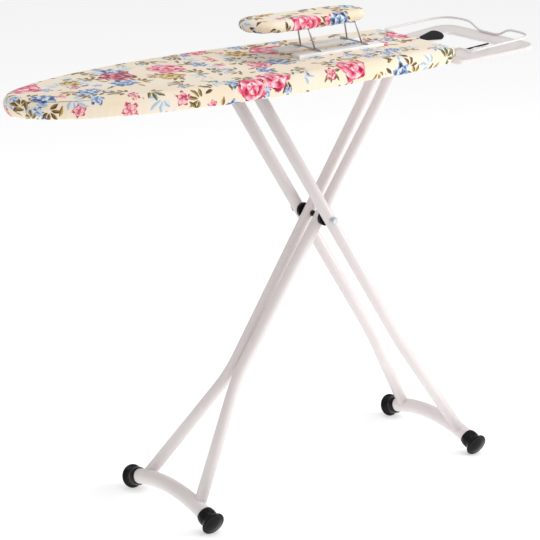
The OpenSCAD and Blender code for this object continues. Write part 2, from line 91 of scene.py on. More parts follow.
# %% Grid to mesh
def to_object(name, points, faces, uv=None, smooth=True):
    """A mesh object from point and face arrays; uv holds one pair of metres per point."""
    mesh = bpy.data.meshes.new(name)
    mesh.from_pydata([tuple(p) for p in points.tolist()], [], [tuple(f) for f in faces.tolist()])
    if uv is not None:
        layer = mesh.uv_layers.new(name="cloth")
        corner = np.zeros(len(mesh.loops), np.int32)
        mesh.loops.foreach_get("vertex_index", corner)
        layer.data.foreach_set("uv", uv[corner].astype(np.float32).ravel())
    mesh.polygons.foreach_set("use_smooth", np.full(len(mesh.polygons), smooth))
    mesh.update()
    obj = bpy.data.objects.new(name, mesh)
    bpy.context.scene.collection.objects.link(obj)
    return obj


def grid_faces(rows, columns, close_rows=False, close_columns=False, flip=False):
    """Four-sided faces between neighbours of a grid, wrapped where it is closed."""
    i = np.arange(rows if close_rows else rows - 1)[:, None]
    k = np.arange(columns if close_columns else columns - 1)[None, :]
    j, m = (i + 1) % rows, (k + 1) % columns
    f = np.stack([i * columns + k, j * columns + k, j * columns + m, i * columns + m], -1).reshape(-1, 4)
    return f[:, ::-1] if flip else f


def unit(v):
    """Vectors divided by their own length."""
    return v / np.maximum(np.linalg.norm(v, axis=-1, keepdims=True), 1e-12)


# %% [markdown]
# Wire and tube are the same thing at two sizes: a circle carried along a path. Corners of the
# path are rounded first with a short curve, as a bending machine would leave them. The circle is
# turned along the path without twist, which keeps its facets straight.

# %% Bent tube
def rounded_path(points, radius, step=0.004, closed=False):
    """Each corner becomes a quadratic curve that leaves the straight `radius` before the corner."""
    p = np.array(points, float)
    n, out = len(p), []
    for i in range(n):
        if not closed and i in (0, n - 1):
            out.append(p[i:i + 1])
            continue
        a, b = p[i - 1] - p[i], p[(i + 1) % n] - p[i]
        ra = min(radius, 0.48 * np.linalg.norm(a))
        rb = min(radius, 0.48 * np.linalg.norm(b))
        u = np.linspace(0, 1, max(5, int(2 * radius / step)))[:, None]
        start, end = p[i] + unit(a) * ra, p[i] + unit(b) * rb
        out.append((1 - u) ** 2 * start + 2 * u * (1 - u) * p[i] + u ** 2 * end)
    return np.concatenate(out)


def tube(name, path, radius, sides=20, closed=False, first=(0, 0, 1), ends="flat"):
    """A circle of `sides` points carried along the path; the side vector is passed on by projection."""
    p = np.array(path, float)
    d = unit(np.roll(p, -1, 0) - np.roll(p, 1, 0)) if closed else unit(np.gradient(p, axis=0))
    side = np.zeros_like(p)
    v = np.array(first, float)
    for i in range(len(p)):
        v = unit(v - (v @ d[i]) * d[i])
        side[i] = v
    other = np.cross(d, side)
    a = 2 * np.pi * np.arange(sides) / sides
    r = np.full(len(p), radius)
    grid = p[:, None] + r[:, None, None] * (np.cos(a)[None, :, None] * side[:, None]
                                            + np.sin(a)[None, :, None] * other[:, None])
    points = grid.reshape(-1, 3)
    faces = grid_faces(len(p), sides, close_rows=closed, close_columns=True, flip=False)
    if not closed:
        n = len(points)
        points = np.concatenate([points, p[:1] - d[:1] * radius * (0.35 if ends == "dome" else 0.0),
                                 p[-1:] + d[-1:] * radius * (0.35 if ends == "dome" else 0.0)])
        k = np.arange(sides)
        m = (k + 1) % sides
        cap_a = np.stack([k, m, np.full(sides, n)], -1)
        cap_b = np.stack([m + (len(p) - 1) * sides, k + (len(p) - 1) * sides, np.full(sides, n + 1)], -1)
        tri = np.concatenate([cap_a, cap_b])
        tri4 = np.concatenate([tri, tri[:, 2:]], 1)
        obj = to_object_mixed(name, points, faces, tri)
    else:
        obj = to_object(name, points, faces)
    return obj


def to_object_mixed(name, points, quads, tris):
    """As to_object, for a skin of quads with triangles at its ends; the quads are shaded smooth, the ends flat."""
    mesh = bpy.data.meshes.new(name)
    mesh.from_pydata([tuple(p) for p in points.tolist()], [],
                     [tuple(f) for f in quads.tolist()] + [tuple(f) for f in tris.tolist()])
    flags = np.ones(len(mesh.polygons), bool)
    flags[len(quads):] = False
    mesh.polygons.foreach_set("use_smooth", flags)
    mesh.update()
    obj = bpy.data.objects.new(name, mesh)
    bpy.context.scene.collection.objects.link(obj)
    return obj


def face_out(obj):
    """Turns every face of a closed piece outwards."""
    import bmesh
    b = bmesh.new()
    b.from_mesh(obj.data)
    bmesh.ops.recalc_face_normals(b, faces=b.faces)
    b.to_mesh(obj.data)
    b.free()
    return obj


# %% [markdown]
# Finishes. Paint, zinc, moulded plastic and cloth differ mostly in how rough they are and how
# fine their bumps are. Two small effects are shared by many of them, so each is a node group that
# is built once: a fine grain, and a slow drift of tone that stops a surface looking printed.

# %% Shared effects
def new_group(name, inputs, outputs):
    """An empty shader group with named sockets, and its two ends."""
    g = bpy.data.node_groups.new(name, "ShaderNodeTree")
    for label, kind, value in inputs:
        s = g.interface.new_socket(label, in_out="INPUT", socket_type=kind)
        if value is not None:
            s.default_value = value
    for label, kind in outputs:
        g.interface.new_socket(label, in_out="OUTPUT", socket_type=kind)
    return g, g.nodes.new("NodeGroupInput"), g.nodes.new("NodeGroupOutput")


def node(tree, kind, links=None, **values):
    """A node with its properties set, and its inputs linked or given a value."""
    n = tree.nodes.new("ShaderNode" + kind)
    for k, v in values.items():
        setattr(n, k, v)
    for k, v in (links or {}).items():
        s = n.inputs[k]
        if isinstance(v, bpy.types.NodeSocket):
            tree.links.new(v, s)
        else:
            s.default_value = v
    return n


def math_node(tree, operation, a, b=None, c=None, clamp=False):
    """One Math node; returns its output."""
    links = {0: a}
    if b is not None:
        links[1] = b
    if c is not None:
        links[2] = c
    return node(tree, "Math", links, operation=operation, use_clamp=clamp).outputs[0]


F, V3, C4 = "NodeSocketFloat", "NodeSocketVector", "NodeSocketColor"

grain, g_in, g_out = new_group("fine_grain", [("Place", V3, None), ("Scale", F, 900.0), ("Amount", F, 0.5)],
                               [("Height", F), ("Rough", F)])
n1 = node(grain, "TexNoise", {"Vector": g_in.outputs["Place"], "Scale": g_in.outputs["Scale"], "Detail": 3.0})
n2 = node(grain, "TexNoise", {"Vector": g_in.outputs["Place"], "Scale": 35.0, "Detail": 4.0})
grain.links.new(math_node(grain, "MULTIPLY", n1.outputs[0], g_in.outputs["Amount"]), g_out.inputs["Height"])
grain.links.new(math_node(grain, "MULTIPLY_ADD", n2.outputs[0], 0.16, -0.08), g_out.inputs["Rough"])

drift, d_in, d_out = new_group("tone_drift", [("Place", V3, None), ("Light", C4, (1, 1, 1, 1)), ("Dark", C4, (.5, .5, .5, 1)),
                                              ("Scale", F, 8.0)], [("Color", C4)])
n3 = node(drift, "TexNoise", {"Vector": d_in.outputs["Place"], "Scale": d_in.outputs["Scale"], "Detail": 5.0, "Roughness": 0.6})
ramp = math_node(drift, "MULTIPLY_ADD", n3.outputs[0], 2.2, -0.6, clamp=True)
mix = node(drift, "Mix", {0: ramp, 6: d_in.outputs["Dark"], 7: d_in.outputs["Light"]}, data_type="RGBA")
drift.links.new(mix.outputs[2], d_out.inputs["Color"])
print("shared effects:", [g.name for g in bpy.data.node_groups])


# %% [markdown]
# One function makes each hard finish from the two effects: tone from the drift, roughness and a
# faint bump from the grain. The numbers are what tells powder coat from plated wire.

# %% Hard finishes
def group_node(tree, group, **links):
    """A group placed in a material, with its inputs linked or set."""
    n = tree.nodes.new("ShaderNodeGroup")
    n.node_tree = group
    for k, v in links.items():
        if isinstance(v, bpy.types.NodeSocket):
            tree.links.new(v, n.inputs[k])
        else:
            n.inputs[k].default_value = v
    return n


def hard_finish(name, light, dark, rough, metallic=0.0, coat=0.0, bump=0.15, scale=900.0, stretch=(1, 1, 1),
                depth=0.0002, drift_scale=8.0, specular=0.5):
    """A Principled surface whose tone, roughness and bump come from the shared effects."""
    m = bpy.data.materials.new(name)
    m.use_nodes = True
    t = m.node_tree
    p = t.nodes["Principled BSDF"]
    place = node(t, "TexCoord").outputs["Object"]
    if stretch != (1, 1, 1):
        place = node(t, "Mapping", {"Vector": place, "Scale": stretch}).outputs[0]
    tone = group_node(t, drift, Place=place, Light=(*light, 1), Dark=(*dark, 1), Scale=drift_scale)
    fine = group_node(t, grain, Place=place, Scale=scale, Amount=1.0)
    t.links.new(tone.outputs["Color"], p.inputs["Base Color"])
    t.links.new(math_node(t, "ADD", fine.outputs["Rough"], rough, clamp=True), p.inputs["Roughness"])
    b = node(t, "Bump", {"Height": fine.outputs["Height"], "Strength": bump, "Distance": depth})
    t.links.new(b.outputs[0], p.inputs["Normal"])
    p.inputs["Metallic"].default_value = metallic
    p.inputs["Coat Weight"].default_value = coat
    p.inputs["Coat Roughness"].default_value = 0.12
    p.inputs["Specular IOR Level"].default_value = specular
    m.diffuse_color = (*light, 1)
    return m


white_paint = hard_finish("white_paint", (0.86, 0.80, 0.79), (0.83, 0.77, 0.76), 0.34, coat=0.25, bump=0.12, scale=700)
zinc_plate = hard_finish("zinc_plate", (0.66, 0.66, 0.67), (0.52, 0.52, 0.54), 0.33, metallic=1.0, bump=0.2,
                         scale=260, stretch=(1, 1, 8), drift_scale=22)
plated_wire = hard_finish("plated_wire", (0.60, 0.595, 0.60), (0.50, 0.495, 0.50), 0.30, metallic=0.9, bump=0.1)
painted_wire = hard_finish("painted_wire", (0.80, 0.765, 0.755), (0.74, 0.71, 0.70), 0.28, coat=0.3, bump=0.1)
gloss_black = hard_finish("gloss_black", (0.006, 0.006, 0.007), (0.003, 0.003, 0.0035), 0.20, bump=0.08, scale=500,
                          specular=0.17)
black_silicone = hard_finish("black_silicone", (0.009, 0.010, 0.013), (0.006, 0.006, 0.008), 0.5, bump=0.25, scale=420, specular=0.2)
white_plastic = hard_finish("white_plastic", (0.95, 0.95, 0.94), (0.93, 0.93, 0.92), 0.38, bump=0.1, scale=520)
grey_felt = hard_finish("grey_felt", (0.60, 0.575, 0.53), (0.46, 0.44, 0.41), 0.95, bump=0.9, scale=380, depth=0.0008,
                        drift_scale=60, specular=0.1)

# %% [markdown]
# The cover is printed cotton: bouquets of roses, blue and golden flowers and leafy sprigs on a cream
# ground. The print could be a picture wrapped on the cloth; here it is worked out from the cloth's
# own flat coordinates, so it stays sharp at any distance and runs over the edge onto the skirt.
# One group draws blooms: one flower in each cell of an uneven grid, turned by chance, with rings of
# overlapping petals. The other draws sprigs: a fan of almond leaves that grows from the cell's middle.

# %% Bloom and sprig groups
def cell_frame(t, gin, sway):
    """Local coordinates round the centre of a random cell: radius, angle, three randoms, a soft noise."""
    rough = node(t, "TexNoise", {"Vector": gin.outputs["Cloth"], "Scale": gin.outputs["Wobble"], "Detail": 3.0},
                 noise_dimensions="2D")
    shift = node(t, "VectorMath", {0: rough.outputs[1], 1: (0.5, 0.5, 0.5)}, operation="SUBTRACT").outputs[0]
    shift = node(t, "VectorMath", {0: shift, 3: sway}, operation="SCALE").outputs[0]
    place = node(t, "VectorMath", {0: gin.outputs["Cloth"], 1: shift}, operation="ADD").outputs[0]
    scaled = node(t, "VectorMath", {0: place, 3: gin.outputs["Scale"]}, operation="SCALE").outputs[0]
    moved = node(t, "VectorMath", {0: scaled, 1: gin.outputs["Seed"]}, operation="ADD").outputs[0]
    cell = node(t, "TexVoronoi", {"Vector": moved, "Scale": 1.0, "Randomness": 0.75},
                voronoi_dimensions="2D", feature="F1")
    local = node(t, "VectorMath", {0: moved, 1: cell.outputs["Position"]}, operation="SUBTRACT").outputs[0]
    rnd = node(t, "SeparateColor", {0: cell.outputs["Color"]})
    turned = node(t, "VectorRotate", {"Vector": local, "Angle": math_node(t, "MULTIPLY", rnd.outputs[0], 6.283)},
                  rotation_type="Z_AXIS").outputs[0]
    xy = node(t, "SeparateXYZ", {0: turned})
    x, y = xy.outputs[0], xy.outputs[1]
    r = math_node(t, "SQRT", math_node(t, "ADD", math_node(t, "MULTIPLY", x, x), math_node(t, "MULTIPLY", y, y)))
    return r, math_node(t, "ARCTAN2", y, x), rnd.outputs, rough.outputs[0]


bloom, b_in, b_out = new_group(
    "bloom", [("Cloth", V3, None), ("Scale", F, 8.0), ("Seed", V3, (0, 0, 0)), ("Wobble", F, 90.0), ("Radius", F, 0.25),
              ("Petals", F, 5.0), ("Notch", F, 0.35), ("Rings", F, 3.0), ("Share", F, 0.7)],
    [("Mask", F), ("Tone", F), ("Pick", F), ("Near", F)])
r, a, rnd, soft = cell_frame(bloom, b_in, 0.011)
turns = math_node(bloom, "MULTIPLY", a, math_node(bloom, "DIVIDE", b_in.outputs["Petals"], 6.2832))
lobe = math_node(bloom, "PINGPONG", turns, 0.5)
reach = math_node(bloom, "MULTIPLY_ADD", lobe, math_node(bloom, "MULTIPLY", b_in.outputs["Notch"], 2.0), math_node(
    bloom, "SUBTRACT", 1.0, b_in.outputs["Notch"]))
size = math_node(bloom, "MULTIPLY", b_in.outputs["Radius"], math_node(bloom, "MULTIPLY_ADD", rnd[1], 0.55, 0.70))
rim = math_node(bloom, "DIVIDE", r, math_node(bloom, "MULTIPLY", reach, size))
present = math_node(bloom, "LESS_THAN", rnd[2], b_in.outputs["Share"])
inside = math_node(bloom, "MULTIPLY", math_node(bloom, "SUBTRACT", 1.0, rim), 16.0, clamp=True)
bloom.links.new(math_node(bloom, "MULTIPLY", inside, present), b_out.inputs["Mask"])
round_rim = math_node(bloom, "DIVIDE", r, size)
close = math_node(bloom, "LESS_THAN", round_rim, 2.15)
bloom.links.new(math_node(bloom, "MULTIPLY", close, present), b_out.inputs["Near"])
ring = math_node(bloom, "MULTIPLY", round_rim, b_in.outputs["Rings"])
step = math_node(bloom, "FLOOR", ring)
sector = math_node(bloom, "PINGPONG", math_node(bloom, "MULTIPLY_ADD", step, 0.37, turns), 0.5)
depth = math_node(bloom, "MULTIPLY_ADD", sector, 0.9, math_node(bloom, "MULTIPLY", math_node(bloom, "FRACT", ring), 0.55))
mottle = math_node(bloom, "MULTIPLY_ADD", soft, 1.5, -0.75)
bloom.links.new(math_node(bloom, "ADD", depth, mottle), b_out.inputs["Tone"])
bloom.links.new(math_node(bloom, "FRACT", math_node(bloom, "MULTIPLY", rnd[0], 7.31)), b_out.inputs["Pick"])

sprig, s_in, s_out = new_group(
    "sprig", [("Cloth", V3, None), ("Scale", F, 13.0), ("Seed", V3, (0, 0, 0)), ("Wobble", F, 60.0), ("Length", F, 0.36),
              ("Width", F, 0.06), ("Apart", F, 0.75), ("Spread", F, 1.9), ("Share", F, 0.8)],
    [("Mask", F), ("Half", F), ("Pick", F)])
r, a, rnd, soft = cell_frame(sprig, s_in, 0.006)
which = math_node(sprig, "ROUND", math_node(sprig, "DIVIDE", a, s_in.outputs["Apart"]))
own = math_node(sprig, "SUBTRACT", a, math_node(sprig, "MULTIPLY", which, s_in.outputs["Apart"]))
along_leaf = math_node(sprig, "MULTIPLY", r, math_node(sprig, "COSINE", own))
aside = math_node(sprig, "MULTIPLY", r, math_node(sprig, "SINE", own))
shorter = math_node(sprig, "MULTIPLY_ADD", math_node(sprig, "ABSOLUTE", which), -0.14, 1.0)
u = math_node(sprig, "DIVIDE", math_node(sprig, "SUBTRACT", along_leaf, 0.05),
              math_node(sprig, "MULTIPLY", s_in.outputs["Length"], shorter), clamp=True)
belly = math_node(sprig, "MULTIPLY", math_node(sprig, "MULTIPLY", u, math_node(sprig, "SUBTRACT", 1.0, u)), 4.0)
wide = math_node(sprig, "MULTIPLY", belly, s_in.outputs["Width"])
leaf = math_node(sprig, "MULTIPLY", math_node(sprig, "SUBTRACT", wide, math_node(sprig, "ABSOLUTE", aside)), 60.0, clamp=True)
within = math_node(sprig, "LESS_THAN", math_node(sprig, "ABSOLUTE", a), s_in.outputs["Spread"])
present = math_node(sprig, "LESS_THAN", rnd[2], s_in.outputs["Share"])
sprig.links.new(math_node(sprig, "MULTIPLY", math_node(sprig, "MULTIPLY", leaf, within), present), s_out.inputs["Mask"])
sprig.links.new(math_node(sprig, "MULTIPLY_ADD", aside, 40.0, soft, clamp=True), s_out.inputs["Half"])
sprig.links.new(math_node(sprig, "FRACT", math_node(sprig, "MULTIPLY", rnd[0], 5.17)), s_out.inputs["Pick"])
print("bloom group:", len(bloom.nodes), "nodes; sprig group:", len(sprig.nodes), "nodes")


# %% [markdown]
# The cotton itself: a plain weave. Two sines along the cloth's two ways give threads that go over
# and under; they raise the surface a hair and are too fine to see from across a room.

# %% Weave group
weave, w_in, w_out = new_group("plain_weave", [("Cloth", V3, None), ("Threads", F, 1400.0)], [("Height", F)])
xy = node(weave, "SeparateXYZ", {0: w_in.outputs["Cloth"]})
su = math_node(weave, "SINE", math_node(weave, "MULTIPLY", xy.outputs[0], math_node(weave, "MULTIPLY", w_in.outputs["Threads"], 3.1416)))
sv = math_node(weave, "SINE", math_node(weave, "MULTIPLY", xy.outputs[1], math_node(weave, "MULTIPLY", w_in.outputs["Threads"], 3.1416)))
weave.links.new(math_node(weave, "MULTIPLY", su, sv), w_out.inputs["Height"])


# %% [markdown]
# Now the print is laid down as a printer would: pale shapes first, then leaves, then flowers on
# top. Leaves are kept near the roses and blue flowers and where a slow noise is high; this gathers them into bouquets
# and leaves open ground between.

# %% Printed cotton
def mixed(t, under, over, mask):
    """Colour `over` laid on `under` where the mask is 1."""
    return node(t, "Mix", {0: mask, 6: under, 7: over}, data_type="RGBA").outputs[2]


def ramp(t, value, stops):
    """A colour ramp from (place, colour) stops."""
    n = t.nodes.new("ShaderNodeValToRGB")
    e = n.color_ramp.elements
    while len(e) < len(stops):
        e.new(0.5)
    for el, (pos, col) in zip(e, stops):
        el.position, el.color = pos, (*col, 1)
    t.links.new(value, n.inputs[0])
    return n.outputs[0]


def printed_cotton(name, seed):
    """Cream cotton with a floral print; seed slides the whole print under the piece."""
    m = bpy.data.materials.new(name)
    m.use_nodes = True
    t = m.node_tree
    p = t.nodes["Principled BSDF"]
    uv = node(t, "UVMap", uv_map="cloth").outputs[0]
    cloth = node(t, "VectorMath", {0: uv, 1: seed}, operation="ADD").outputs[0]

    gather = node(t, "TexNoise", {"Vector": cloth, "Scale": 8.0, "Detail": 1.0}, noise_dimensions="2D").outputs[0]
    patch = math_node(t, "GREATER_THAN", gather, 0.49)
    ground = node(t, "TexNoise", {"Vector": cloth, "Scale": 11.0, "Detail": 3.0}, noise_dimensions="2D").outputs[0]
    colour = ramp(t, ground, [(0.35, (0.93, 0.785, 0.585)), (0.65, (0.94, 0.825, 0.685))])

    rose = group_node(t, bloom, Cloth=cloth, Scale=6.3, Seed=(7.7, 6.3, 0), Wobble=62.0, Radius=0.235, Petals=5.0,
                      Notch=0.20, Rings=2.7, Share=0.64)
    blue = group_node(t, bloom, Cloth=cloth, Scale=9.0, Seed=(1.3, 4.9, 0), Wobble=75.0, Radius=0.235, Petals=6.0,
                      Notch=0.30, Rings=2.2, Share=0.62)
    small = group_node(t, bloom, Cloth=cloth, Scale=18.0, Seed=(5.5, 1.2, 0), Wobble=120.0, Radius=0.29, Petals=5.0,
                       Notch=0.45, Rings=1.6, Share=0.42)
    near = math_node(t, "MAXIMUM", math_node(t, "MAXIMUM", rose.outputs["Near"], blue.outputs["Near"]), patch)

    pale = group_node(t, sprig, Cloth=cloth, Scale=14.0, Seed=(3.1, 8.2, 0), Wobble=70.0, Length=0.42, Width=0.075,
                      Apart=0.8, Spread=2.0, Share=0.72)
    colour = mixed(t, colour, ramp(t, pale.outputs["Half"], [(0.2, (0.33, 0.47, 0.66)), (0.8, (0.66, 0.78, 0.88))]),
                   math_node(t, "MULTIPLY", pale.outputs["Mask"], 0.8))
    for scale, seed_at, length, width, apart, spread, share in (
            (15.0, (0.4, 2.7, 0), 0.42, 0.066, 0.72, 1.8, 0.85), (21.0, (9.2, 5.1, 0), 0.48, 0.085, 1.0, 0.5, 0.8),
            (17.0, (4.4, 9.9, 0), 0.42, 0.070, 0.9, 1.35, 0.7)):
        olive = group_node(t, sprig, Cloth=cloth, Scale=scale, Seed=seed_at, Wobble=80.0, Length=length, Width=width,
                           Apart=apart, Spread=spread, Share=share)
        dark = ramp(t, olive.outputs["Pick"], [(0.0, (0.035, 0.020, 0.012)), (0.35, (0.16, 0.085, 0.018)),
                                               (0.6, (0.075, 0.075, 0.03)), (1.0, (0.23, 0.125, 0.02))])
        light = ramp(t, olive.outputs["Pick"], [(0.0, (0.14, 0.08, 0.035)), (0.35, (0.42, 0.25, 0.06)),
                                                (0.6, (0.25, 0.25, 0.10)), (1.0, (0.55, 0.36, 0.10))])
        colour = mixed(t, colour, mixed(t, dark, light, olive.outputs["Half"]),
                       math_node(t, "MULTIPLY", olive.outputs["Mask"], near))

    small_tone = ramp(t, small.outputs["Tone"], [(0.1, (0.05, 0.07, 0.17)), (0.4, (0.22, 0.33, 0.58)), (0.8, (0.62, 0.74, 0.86))])
    small_pink = ramp(t, small.outputs["Tone"], [(0.1, (0.40, 0.03, 0.06)), (0.4, (0.80, 0.20, 0.28)), (0.8, (0.93, 0.58, 0.58))])
    small_tone = mixed(t, small_tone, small_pink, math_node(t, "GREATER_THAN", small.outputs["Pick"], 0.55))
    colour = mixed(t, colour, small_tone, small.outputs["Mask"])

    blue_tone = ramp(t, blue.outputs["Tone"], [(0.05, (0.020, 0.018, 0.045)), (0.25, (0.07, 0.09, 0.22)),
                                               (0.5, (0.25, 0.38, 0.64)), (0.85, (0.72, 0.83, 0.92))])
    gold_tone = ramp(t, blue.outputs["Tone"], [(0.05, (0.06, 0.025, 0.008)), (0.28, (0.32, 0.15, 0.02)),
                                               (0.55, (0.72, 0.44, 0.08)), (0.9, (0.93, 0.80, 0.48))])
    blue_tone = mixed(t, blue_tone, gold_tone, math_node(t, "GREATER_THAN", blue.outputs["Pick"], 0.70))
    colour = mixed(t, colour, blue_tone, blue.outputs["Mask"])

    rose_tone = ramp(t, rose.outputs["Tone"], [(0.05, (0.33, 0.01, 0.035)), (0.25, (0.72, 0.045, 0.12)),
                                               (0.5, (0.86, 0.20, 0.30)), (0.7, (0.93, 0.47, 0.54)), (0.95, (0.97, 0.82, 0.82))])
    wine_tone = ramp(t, rose.outputs["Tone"], [(0.05, (0.05, 0.006, 0.02)), (0.35, (0.30, 0.012, 0.05)),
                                               (0.65, (0.70, 0.10, 0.17)), (0.95, (0.90, 0.55, 0.60))])
    rose_tone = mixed(t, rose_tone, wine_tone, math_node(t, "GREATER_THAN", rose.outputs["Pick"], 0.80))
    colour = mixed(t, colour, rose_tone, rose.outputs["Mask"])
    t.links.new(colour, p.inputs["Base Color"])

    threads = group_node(t, weave, Cloth=uv, Threads=1400.0)
    slub = node(t, "TexNoise", {"Vector": uv, "Scale": 240.0, "Detail": 3.0}, noise_dimensions="2D").outputs[0]
    bump1 = node(t, "Bump", {"Height": threads.outputs["Height"], "Strength": 0.18, "Distance": 0.00015})
    bump2 = node(t, "Bump", {"Height": slub, "Strength": 0.25, "Distance": 0.0004, "Normal": bump1.outputs[0]})
    t.links.new(bump2.outputs[0], p.inputs["Normal"])
    t.links.new(math_node(t, "MULTIPLY_ADD", slub, 0.15, 0.72), p.inputs["Roughness"])
    p.inputs["Sheen Weight"].default_value = 0.25
    p.inputs["Sheen Roughness"].default_value = 0.45
    p.inputs["Specular IOR Level"].default_value = 0.25
    m.diffuse_color = (0.94, 0.85, 0.68, 1)
    return m


board_print = printed_cotton("board_print", (0.0, 0.0, 0.0))
sleeve_print = printed_cotton("sleeve_print", (0.41, 0.23, 0.0))
print("print nodes:", len(board_print.node_tree.nodes))


# %% [markdown]
# The board's outline is a soft point at the nose, a slow taper, and a rounded tail. Points are
# worked out finely and then spaced evenly along the line, because even spacing gives even cloth.

# %% Outlines
def evenly(line, n):
    """A closed line again, as n points the same distance apart."""
    closed = np.concatenate([line, line[:1]])
    s = np.concatenate([[0], np.cumsum(np.linalg.norm(np.diff(closed, axis=0), axis=1))])
    at = np.linspace(0, s[-1], n, endpoint=False)
    return np.stack([np.interp(at, s, closed[:, k]) for k in (0, 1)], 1)


def both_sides(half):
    """Half an outline from one tip to the other, with its mirror image across the X axis."""
    return np.concatenate([half, half[-2:0:-1] * [1, -1]])


c_low, c_high = (np.array(v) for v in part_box("board_cover"))
s_low, s_high = (np.array(v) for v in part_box("sleeve_cover"))
nose_x, tail_x, half_w = c_low[0], c_high[0], c_high[1]


def board_outline(n=720):
    """Nose: cosine to the power 1.02; middle: a taper; tail: round corners and a slightly bowed end."""
    wide_x, taper, corner, bow = -0.085, 0.027, 0.016, 0.003
    width = lambda x: half_w - taper * (np.maximum(x - wide_x, 0) / 0.418) ** 1.5
    a = np.radians(np.linspace(90, 0, 400))
    nose = np.stack([wide_x - (wide_x - nose_x) * np.sin(a), half_w * np.maximum(np.cos(a), 0) ** 1.02], 1)
    cx = tail_x - bow - corner
    cy = width(cx) - corner
    x = np.linspace(wide_x + 0.01, cx - 0.005, 80)
    b = np.radians(np.linspace(6, 86, 80))
    y = np.linspace(0.97 * cy, 0, 60)
    return evenly(both_sides(np.concatenate([
        nose, np.stack([x, width(x)], 1), np.stack([cx + corner * np.sin(b), cy + corner * np.cos(b)], 1),
        np.stack([tail_x - bow * (y / cy) ** 2, y], 1)])), n)


def sleeve_outline(n=420):
    """Two half circles joined by a slight taper."""
    mid = (s_low[1] + s_high[1]) / 2
    r1 = (s_high[1] - s_low[1]) / 2
    r2 = r1 - 0.006
    a = np.radians(np.linspace(180, 90, 120))
    one = np.stack([s_low[0] + r1 + r1 * np.cos(a), r1 * np.sin(a)], 1)
    b = np.radians(np.linspace(90, 0, 120))
    two = np.stack([s_high[0] - r2 + r2 * np.cos(b), r2 * np.sin(b)], 1)
    return evenly(both_sides(np.concatenate([one, two])), n) + [0, mid]


def outward(line):
    """Unit normals of a closed line that runs clockwise seen from above, pointing out."""
    d = np.roll(line, -1, 0) - np.roll(line, 1, 0)
    return unit(np.stack([-d[:, 1], d[:, 0]], 1))


board_line, sleeve_line = board_outline(), sleeve_outline()
print("outline lengths:", *(round(float(np.linalg.norm(np.roll(l, -1, 0) - l, axis=1).sum()), 3)
                            for l in (board_line, sleeve_line)))


# %% [markdown]
# The cover is one sheet of cloth. On the board it lies flat, turns over a soft padded shoulder,
# hangs a short way down and is drawn in and under by the hem's elastic. Round the nose and the
# tail's corners the cloth has too much length for the shorter line below, so it gathers in small
# upright folds. The sheet is a grid: one way runs round the outline, the other from the middle
# over the edge to the hem.

# %% Fitted cover
def smooth_noise(n, waves, rng):
    """A closed, smooth random row: a sum of sines with random phase."""
    k = np.arange(1, waves + 1)
    phase, amount = rng.random(waves) * 2 * np.pi, rng.random(waves) / np.sqrt(waves)
    s = np.arange(n)[:, None] / n
    return (np.sin(2 * np.pi * k * s + phase) * amount).sum(1)


